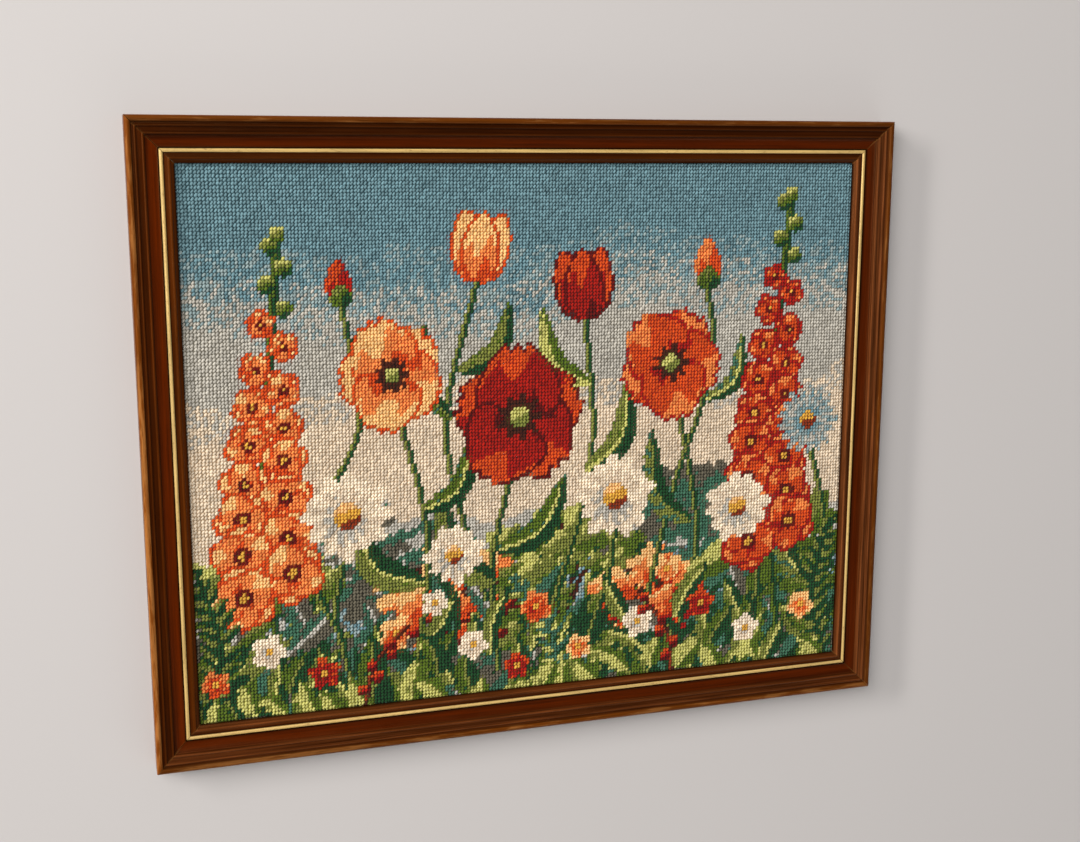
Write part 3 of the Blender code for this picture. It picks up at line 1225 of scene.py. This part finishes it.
# Two points of an outline that lie closer than this are one
SAME_POINT = 0.001 * MM

# Sections of a rail: their spacing, and the first few near each mitre
SECTION_SPACING = 3 * MM
SECTIONS_NEAR_MITRE = (0.25 * MM, 0.7 * MM, 1.5 * MM)


def arched_line(start, end, rise, steps):
    """Points from start to end, both (in from the edge, height), bowed up by rise as half an ellipse."""
    turn = np.linspace(0, pi, steps + 1)
    share = (1 - np.cos(turn))[:, None] / 2
    line = np.array(start) + (np.array(end) - np.array(start)) * share
    line[:, 1] += rise * np.sin(turn)
    return line


def moulding_outline():
    """The rail's section as (in from the outer edge, height): over the face, then back by the rabbet."""
    points = [np.zeros(2)]
    starts_at = 0
    for member in MOULDING_FACE:
        start = (starts_at, member.height_at_start)
        end = (member.ends_at, member.height_at_end)
        for point in arched_line(start, end, member.rise, member.steps):
            if np.hypot(*(point - points[-1])) > SAME_POINT:
                points.append(point)
        starts_at = member.ends_at
    points += [(MOULDING_WIDTH, LIP_UNDERSIDE), (RABBET_WALL, LIP_UNDERSIDE), (RABBET_WALL, 0)]
    return np.array(points)


# The gilt bead in the groove
GILT_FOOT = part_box("gilt_bottom")[0].z
GILT_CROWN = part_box("gilt_bottom")[1].z
GILT_OUTER_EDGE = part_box("gilt_bottom")[0].y - CAD_LOW.y
GILT_INNER_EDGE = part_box("gilt_bottom")[1].y - CAD_LOW.y
GILT_SHOULDER = GILT_CROWN - 1.1 * MM
GILT_CROWN_STEPS = 12


def gilt_outline():
    """The gilt bead's section: square below its shoulders, and half round above."""
    crown = arched_line(
        (GILT_OUTER_EDGE, GILT_SHOULDER),
        (GILT_INNER_EDGE, GILT_SHOULDER),
        GILT_CROWN - GILT_SHOULDER,
        GILT_CROWN_STEPS,
    )
    return np.vstack([(GILT_OUTER_EDGE, GILT_FOOT), crown, (GILT_INNER_EDGE, GILT_FOOT)])


def section_places(outer_length):
    """How far from the left mitre each section lies along the rail, as shares of its length."""
    steps = int(outer_length / SECTION_SPACING)
    even = np.linspace(0, 1, steps + 1)
    near = np.array(SECTIONS_NEAR_MITRE) / outer_length
    return np.unique(np.concatenate([even, near, 1 - near]))


# A face whose edge turns more than this shows it sharp
SHARP_EDGE = radians(32)

# Knocks press the outer bead in around its middle, which lies this far in, and fade out before a mitre
BEAD_MIDDLE = 1.9 * MM
KNOCK_REACH = 2.2 * MM
KNOCKS_FADE_BY = 4 * MM

# Wear along the outer bead: how long each rub or knock is, how many there are, and how deep they go
Rub = namedtuple("Rub", "reach count depth")
RUBS = Rub(60 * MM, 5, 0.5), Rub(18 * MM, 9, 0.5), Rub(5 * MM, 14, 0.8)

# The baked map of a rail: its length folded into rows, and its two mitred ends side by side over them
BAKE_ROWS = 3
BAKE_ROWS_TOP = 0.928
BAKE_ROW_MARGIN = 0.02
BAKE_ENDS_FOOT = 0.94
BAKE_END_WIDTH = 0.48


def closed_run(name, points):
    """A closed mesh through sections one after another, each a ring of points, with a face at either end."""
    cells = np.arange(points.size // 3).reshape(points.shape[:2])
    following = np.roll(cells, -1, 1)
    sides = np.stack([cells[:-1], cells[1:], following[1:], following[:-1]], -1)
    mesh = mesh_from_arrays(name, points.reshape(-1, 3), sides.reshape(-1, 4))
    shape = bmesh.new()
    shape.from_mesh(mesh)
    shape.verts.ensure_lookup_table()
    for ring in (cells[0], cells[-1, ::-1]):
        shape.faces.new([shape.verts[int(k)] for k in ring])
    bmesh.ops.recalc_face_normals(shape, faces=shape.faces[:])
    shape.to_mesh(mesh)
    shape.free()
    mesh.shade_smooth()
    mesh.set_sharp_from_angle(angle=SHARP_EDGE)
    return mesh


def mitred_length(name, outline, outer_length, random, dent, looks):
    """The outline run along X between two 45-degree mitres, with its wear and painted light values and its
    map.
    """
    share = section_places(outer_length)[:, None]
    inset, height = outline.T
    half = outer_length / 2 - inset - MITRE_GAP_ALONG_RAIL
    along = -half + 2 * half * share
    to_mitre = np.minimum(share, 1 - share) * 2 * half

    knocks = soft_knocks(along[:, 0], outer_length, random)[:, None]
    on_face = height > GILT_FOOT
    at_edge = np.exp(-(((inset - BEAD_MIDDLE) / KNOCK_REACH) ** 2))
    fade = np.clip(to_mitre / KNOCKS_FADE_BY, 0, 1)
    dented = height - on_face * at_edge * knocks * dent * fade
    mesh = closed_run(name, np.stack(np.broadcast_arrays(along, inset, dented), -1))
    add_point_values(mesh, "to_mitre", to_mitre / MM)
    # Wear and painted light: the bead's wear, higher on the lit sides; the painted highlight on the reeds;
    # the side's painted light and shade
    add_point_values(mesh, "bead_wear", np.broadcast_to(looks.bead_wear * knocks, along.shape))
    add_point_values(mesh, "reed_wear", np.full(along.shape, looks.reed_wear))
    add_point_values(mesh, "tone", np.full(along.shape, looks.tone))
    add_rail_uv(mesh, *along.shape, outline)
    return mesh


def soft_knocks(along, length, random):
    """How worn the outer bead is at each section, from 0 to 1."""
    worn = np.zeros(len(along))
    for rub in RUBS:
        for _ in range(rub.count):
            centre = random.uniform(-length / 2, length / 2)
            worn += rub.depth * random.uniform(0.3, 1) * np.exp(-(((along - centre) / rub.reach) ** 2))
    return np.clip(worn, 0, 1)


def add_rail_uv(mesh, sections, around, outline):
    """Unfolds the rail for baking: its length along the rows, and its outline up each of them.

    The mitred ends are the only faces with more than four corners.
    """
    run = distance_along(np.vstack([outline, outline[:1]]))
    run /= run[-1]
    per_row = -(-(sections - 1) // BAKE_ROWS)
    box = outline.max(0) - outline.min(0)
    places = np.zeros((len(mesh.loops), 2))
    for face in mesh.polygons:
        rings = [index // around for index in face.vertices]
        steps = [index % around for index in face.vertices]
        if len(rings) > 4:
            side = 0.5 if rings[0] else 0.0
            for loop, step in zip(face.loop_indices, steps):
                flat = (outline[step] - outline.min(0)) / box
                v = BAKE_ENDS_FOOT + (1 - BAKE_ENDS_FOOT) * flat[1]
                places[loop] = (side + BAKE_END_WIDTH * flat[0], v)
            continue
        row = min(rings) // per_row
        wraps = max(steps) - min(steps) > 1
        for loop, ring, step in zip(face.loop_indices, rings, steps):
            up = run[around] if wraps and step == 0 else run[step]
            u = (ring - row * per_row) / per_row
            v = row + BAKE_ROW_MARGIN + (1 - 2 * BAKE_ROW_MARGIN) * up
            places[loop] = (u, v / BAKE_ROWS * BAKE_ROWS_TOP)
    add_uv(mesh, "OFBake", places)


def place_mitred_set(prefix, outline, seed, dent, material):
    """Four mitred lengths around the frame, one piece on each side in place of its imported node."""
    for number, (side, looks) in enumerate(SIDES.items()):
        outer_length, across_frame = FRAME_WIDTH, FRAME_HEIGHT
        if side in ("left", "right"):
            outer_length, across_frame = across_frame, outer_length
        name = f"{prefix}_{side}_finished"
        mesh = mitred_length(name, outline, outer_length, np.random.default_rng(seed + number), dent, looks)
        turned = Matrix.Rotation(radians(looks.turn), 4, "Z")
        place = turned @ Matrix.Translation((0, -across_frame / 2, 0))
        piece = add_piece(name, mesh, material, place)
        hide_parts(f"{prefix}_{side}")


def stepped_ramp(tree, place, stops):
    """A colour ramp over the moulding's width from (in from the outer edge, colour) stops."""
    made = add_node(tree, "ValToRGB", {"Fac": span(tree, place, 0.0, MOULDING_WIDTH)})
    ramp = made.color_ramp
    while len(ramp.elements) > 1:
        ramp.elements.remove(ramp.elements[-1])
    for number, (at, colour) in enumerate(stops):
        stop = ramp.elements[0] if number == 0 else ramp.elements.new(at / MOULDING_WIDTH)
        stop.position = at / MOULDING_WIDTH
        stop.color = opaque(colour)
    return made.outputs["Color"]


def stain_across(tree, inset, settings):
    """The stain over the moulding's width, and its paler painted highlight on the lit reeds and slip; both
    darken to a painted shadow at the sight edge.
    """
    dark, band, bead = settings.quirk_stain, settings.band_stain, settings.stained_bead
    pale, shadow_black = settings.lit_reed, (0, 0, 0)
    reed = blend_values(dark, bead, 0.20)
    between = blend_values(dark, pale, 0.42)
    hollow = (
        (12.2 * MM, blend_values(dark, band, 0.7)),
        (15.0 * MM, band),
        (17.2 * MM, band),
        (18.2 * MM, dark),
        (21.6 * MM, dark),
    )
    stain = stepped_ramp(
        tree,
        inset,
        (
            (3.3 * MM, bead),
            (4.1 * MM, dark),
            (4.9 * MM, dark),
            (5.8 * MM, reed),
            (6.8 * MM, dark),
            (9.2 * MM, dark),
            (10.2 * MM, reed),
            (11.3 * MM, dark),
            *hollow,
            (23.2 * MM, reed),
            (24.3 * MM, blend_values(dark, bead, 0.35)),
            (25.3 * MM, reed),
            (26.4 * MM, reed),
            # Painted shadow at the sight edge, where the slip meets the canvas
            (27.2 * MM, blend_values(dark, shadow_black, 0.6)),
        ),
    )
    faded = stepped_ramp(
        tree,
        inset,
        (
            (3.3 * MM, bead),
            (4.1 * MM, between),
            (5.8 * MM, pale),
            (7.0 * MM, between),
            (8.6 * MM, between),
            (10.0 * MM, pale),
            (11.2 * MM, between),
            *hollow,
            (22.9 * MM, between),
            (23.7 * MM, pale),
            (24.7 * MM, pale),
            (25.6 * MM, between),
            (26.4 * MM, between),
            # Painted shadow at the sight edge, where the slip meets the canvas
            (27.2 * MM, blend_values(dark, shadow_black, 0.4)),
        ),
    )
    return stain, faded


def moulding_finish(settings):
    """Stained and polished wood: dark in the quirks, red-brown on the band, rubbed on the outer bead, with
    painted light and shade on each side, painted highlights on the lit reeds and a painted shadow at the
    sight edge.
    """
    material, tree, shader = new_finish("stained_moulding", settings.polish)
    place, _, inset, height = object_place(tree)
    stain, faded = stain_across(tree, inset, settings)
    lines = grain_noise(tree, place, along=22, across=1900, detail=3)
    # Painted highlight: along the grain, the reeds and slip take their paler lit colours, as far as the side
    # says
    painted_light_share = span(tree, lines, 0.36, 0.60, 0.25, 1.25)
    painted_light_share = maths(tree, "MULTIPLY", point_value(tree, "reed_wear"), painted_light_share, clamp=True)
    stain = blend_colours(tree, painted_light_share, stain, faded)
    grain = grain_noise(tree, place, along=14, across=900, detail=6, roughness=0.6)
    figure = grain_noise(tree, place, along=9, across=160, detail=4)
    mottle = grain_noise(tree, place, along=40, across=90, detail=3)
    pores = grain_noise(tree, place, along=120, across=3800, detail=2)
    pores = span(tree, pores, 0.60, 0.72)

    shade = span(tree, grain, 0.30, 0.70, 0.62, 1.30)
    shade = maths(tree, "ADD", shade, span(tree, figure, 0.3, 0.7, -0.25, 0.25))
    shade = maths(tree, "MULTIPLY", shade, span(tree, pores, 0.0, 1.0, 1.0, 0.55))
    # Painted light and shade: each side's whole rail is lighter or darker by its tone
    shade = maths(tree, "MULTIPLY", shade, maths(tree, "ADD", point_value(tree, "tone"), 1.0))
    wood = shaded(tree, stain, shade)

    on_bead = span(tree, inset, 3.3 * MM, 4.0 * MM, 1.0, 0.0)
    on_crown = span(tree, height, MOULDING_DEPTH - 3.2 * MM, MOULDING_DEPTH - 0.9 * MM)
    streaks = grain_noise(tree, place, along=55, across=520, detail=4, roughness=0.65)
    # Rubbed wear on the bead's crown, raised on the left and bottom as painted light
    rubbed = maths(tree, "MULTIPLY_ADD", point_value(tree, "bead_wear"), 0.24, streaks)
    rubbed = span(tree, rubbed, 0.56, 0.74)
    rubbed = maths(tree, "MULTIPLY", rubbed, maths(tree, "MULTIPLY", on_bead, on_crown), clamp=True)
    worn = shaded(tree, opaque(settings.worn_wood), shade)
    wood = blend_colours(tree, maths(tree, "MULTIPLY", rubbed, 0.8), wood, worn)

    seam = span(tree, point_value(tree, "to_mitre"), 0.0, 0.7, 1.0, 0.0)
    filler = span(tree, mottle, 0.35, 0.65, 0.1, 0.5)
    wood = blend_colours(tree, maths(tree, "MULTIPLY", seam, filler), wood, opaque(settings.worn_wood))

    low = span(tree, height, MOULDING_DEPTH - 3.5 * MM, MOULDING_DEPTH - 2.0 * MM, 0.6, 0.0)
    at_side = maths(tree, "MULTIPLY", low, span(tree, inset, 0.0, 0.3 * MM, 1.0, 0.0))
    wood = blend_colours(tree, at_side, wood, opaque(settings.quirk_stain))

    behind = span(tree, height, 0.05 * MM, 0.4 * MM, 1.0, 0.0)
    wood = blend_colours(tree, behind, wood, shaded(tree, opaque(settings.bare_wood), shade))
    tree.links.new(wood, shader.inputs["Base Color"])

    rough = maths(tree, "ADD", span(tree, mottle, 0.3, 0.7, -0.06, 0.10), settings.polish)
    rough = maths(tree, "ADD", rough, maths(tree, "MULTIPLY", maths(tree, "MAXIMUM", rubbed, behind), 0.25))
    tree.links.new(rough, shader.inputs["Roughness"])
    shader.inputs["Specular IOR Level"].default_value = 0.30
    shader.inputs["Specular Tint"].default_value = opaque(settings.sheen)
    relief = maths(tree, "MULTIPLY_ADD", pores, -0.6, grain)
    add_bump(tree, shader, relief, 0.35, 0.12 * MM)
    return material


def gilt_finish(settings):
    """Old gilt paint on the bead's crown: brushed along it and rubbed thin in spots, with stained sides."""
    material, tree, shader = new_finish("gilt_paint", 0.38, 0.2)
    place, _, _, height = object_place(tree)
    brushed = grain_noise(tree, place, along=30, across=1600, detail=4)
    specks = grain_noise(tree, place, along=260, across=900, detail=5, roughness=0.65)
    specks = span(tree, specks, 0.56, 0.70)
    low = span(tree, height, GILT_SHOULDER + 0.45 * MM, GILT_SHOULDER + 0.75 * MM, 1.0, 0.0)
    share = maths(tree, "MULTIPLY", specks, 0.6)
    gold = shaded(tree, opaque(settings.gold), span(tree, brushed, 0.3, 0.7, 0.66, 1.20))
    colour = blend_colours(tree, share, gold, opaque(settings.rubbed))
    colour = blend_colours(tree, low, colour, opaque(settings.unpainted))
    tree.links.new(colour, shader.inputs["Base Color"])
    tree.links.new(span(tree, share, 0.0, 1.0, 0.40, 0.65), shader.inputs["Roughness"])
    add_bump(tree, shader, brushed, 0.3, 0.08 * MM)
    return material


# The spacing of the wires whose marks the hardboard's press leaves
PRESS_MESH = 1.3 * MM


def hardboard_finish(settings):
    """Brown hardboard: pressed fibres, with the fine mesh of its press on the back."""
    material, tree, shader = new_finish("brown_hardboard", 0.82)
    place, x, y, _ = object_place(tree)
    fibres = noise(tree, place, scale=900, detail=6)
    stains = span(tree, noise(tree, place, scale=14, detail=4), 0.35, 0.65, -0.25, 0.25)
    tone = maths(tree, "ADD", span(tree, fibres, 0.3, 0.7), stains, clamp=True)
    colour = blend_colours(tree, tone, opaque(settings.dark_fibre), opaque(settings.pale_fibre))
    tree.links.new(colour, shader.inputs["Base Color"])
    turns = 2 * pi / PRESS_MESH
    meshed = maths(tree, "MULTIPLY", wave(tree, x, turns), wave(tree, y, turns))
    press = maths(tree, "MULTIPLY_ADD", meshed, 0.5, fibres)
    add_bump(tree, shader, press, 0.5, 0.25 * MM)
    return material


# Seeds of the rails' and the beads' wear; each side adds its own number
RAIL_SEED = 11
GILT_SEED = 31
DEEPEST_KNOCK = 0.22 * MM


class NEEDLEPOINT_OT_moulding(bpy.types.Operator):
    """Cut, stain and polish the four rails of the moulding"""

    bl_idname = "needlepoint.moulding"
    bl_label = "Finish moulding"

    def execute(self, context):
        finish = moulding_finish(context.scene.moulding)
        place_mitred_set("rail", moulding_outline(), RAIL_SEED, DEEPEST_KNOCK, finish)
        return {"FINISHED"}


class NEEDLEPOINT_OT_gilt(bpy.types.Operator):
    """Lay the gilt bead in its groove"""

    bl_idname = "needlepoint.gilt"
    bl_label = "Lay gilt line"

    def execute(self, context):
        finish = gilt_finish(context.scene.gilt)
        place_mitred_set("gilt", gilt_outline(), GILT_SEED, 0.0, finish)
        return {"FINISHED"}


class NEEDLEPOINT_OT_board(bpy.types.Operator):
    """Finish the board behind the canvas"""

    bl_idname = "needlepoint.board"
    bl_label = "Finish board"

    def execute(self, context):
        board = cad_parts["back_board"]
        finish = hardboard_finish(context.scene.board)
        for slot in board.material_slots:
            slot.material = finish
        return {"FINISHED"}


# The stage

FLOOR_REACH = 6
GAP_OVER_FLOOR = 0.2 * MM
SURROUNDINGS_COLOUR = (1.0, 0.99, 0.98)
SURROUNDINGS_STRENGTH = 0.2
NEAREST_SEEN = 0.01

# Soft lights, all aimed at the picture's middle; the power of each is among the stage's settings
SoftLight = namedtuple("SoftLight", "name place size colour")
SOFT_LIGHTS = (
    SoftLight("key", (-1.4, 1.0, 2.3), (2.0, 2.0), (1.0, 0.99, 0.97)),
    SoftLight("raking", (-5.3, 2.6, 2.3), (2.8, 0.7), (1.0, 0.98, 0.95)),
    SoftLight("fill", (0.8, -2.0, 0.9), (2.2, 0.8), (1.0, 0.98, 0.95)),
)


def add_soft_light(looks, power):
    light = bpy.data.lights.new(looks.name, "AREA")
    light.shape = "RECTANGLE"
    light.size, light.size_y = looks.size
    light.energy = power
    light.color = looks.colour
    lamp = bpy.data.objects.new(looks.name, light)
    bpy.context.scene.collection.objects.link(lamp)
    lamp.location = looks.place
    lamp.rotation_euler = Vector(looks.place).to_track_quat("Z", "Y").to_euler()


def add_floor(colour):
    material, _, shader = new_finish("plain_floor", 0.75)
    shader.inputs["Base Color"].default_value = opaque(colour)
    shape = bmesh.new()
    bmesh.ops.create_grid(shape, x_segments=1, y_segments=1, size=FLOOR_REACH)
    mesh = bpy.data.meshes.new("floor")
    shape.to_mesh(mesh)
    shape.free()
    mesh.materials.append(material)
    floor = bpy.data.objects.new("floor", mesh)
    floor.location.z = CAD_LOW.z - GAP_OVER_FLOOR
    bpy.context.scene.collection.objects.link(floor)


def set_surroundings(scene):
    world = bpy.data.worlds.new("studio")
    world.use_nodes = True
    background = world.node_tree.nodes["Background"]
    background.inputs["Color"].default_value = opaque(SURROUNDINGS_COLOUR)
    background.inputs["Strength"].default_value = SURROUNDINGS_STRENGTH
    scene.world = world
    scene.view_settings.view_transform = "Standard"


def add_camera(scene):
    camera = bpy.data.objects.new("camera", bpy.data.cameras.new("camera"))
    camera.data.lens = scene.stage.lens
    camera.data.clip_start = NEAREST_SEEN
    camera.location = scene.stage.camera_place
    camera.rotation_euler = scene.stage.camera_turn
    scene.collection.objects.link(camera)
    scene.camera = camera


class NEEDLEPOINT_OT_stage(bpy.types.Operator):
    """Set the floor, the lights and the camera"""

    bl_idname = "needlepoint.stage"
    bl_label = "Set stage"

    def execute(self, context):
        settings = context.scene.stage
        add_floor(settings.floor)
        set_surroundings(context.scene)
        for looks in SOFT_LIGHTS:
            add_soft_light(looks, getattr(settings, looks.name + "_power"))
        add_camera(context.scene)
        return {"FINISHED"}


class NEEDLEPOINT_PT_panel(bpy.types.Panel):
    """The steps of the picture, in the order in which they are made"""

    bl_idname = "NEEDLEPOINT_PT_panel"
    bl_label = "Framed needlepoint"
    bl_space_type = "VIEW_3D"
    bl_region_type = "UI"
    bl_category = "Needlepoint"

    def draw(self, context):
        for operator in STEPS:
            self.layout.operator(operator.bl_idname)


STEPS = (
    NEEDLEPOINT_OT_stage,
    NEEDLEPOINT_OT_moulding,
    NEEDLEPOINT_OT_gilt,
    NEEDLEPOINT_OT_board,
    NEEDLEPOINT_OT_canvas,
    NEEDLEPOINT_OT_stitches,
)
SETTINGS = {
    "needlework": NeedleworkSettings,
    "yarn_colours": YarnColours,
    "moulding": MouldingSettings,
    "gilt": GiltSettings,
    "board": BoardSettings,
    "stage": StageSettings,
}


def register():
    for group in SETTINGS.values():
        bpy.utils.register_class(group)
    for operator in STEPS:
        bpy.utils.register_class(operator)
    bpy.utils.register_class(NEEDLEPOINT_PT_panel)
    for name, group in SETTINGS.items():
        setattr(bpy.types.Scene, name, PointerProperty(type=group))


def unregister():
    for name in SETTINGS:
        delattr(bpy.types.Scene, name)
    bpy.utils.unregister_class(NEEDLEPOINT_PT_panel)
    for operator in reversed(STEPS):
        bpy.utils.unregister_class(operator)
    for group in reversed(SETTINGS.values()):
        bpy.utils.unregister_class(group)


def main():
    register()
    bpy.ops.needlepoint.stage()
    bpy.ops.needlepoint.moulding()
    bpy.ops.needlepoint.gilt()
    bpy.ops.needlepoint.board()
    bpy.ops.needlepoint.canvas()
    bpy.ops.needlepoint.stitches()


if __name__ == "__main__":
    main()
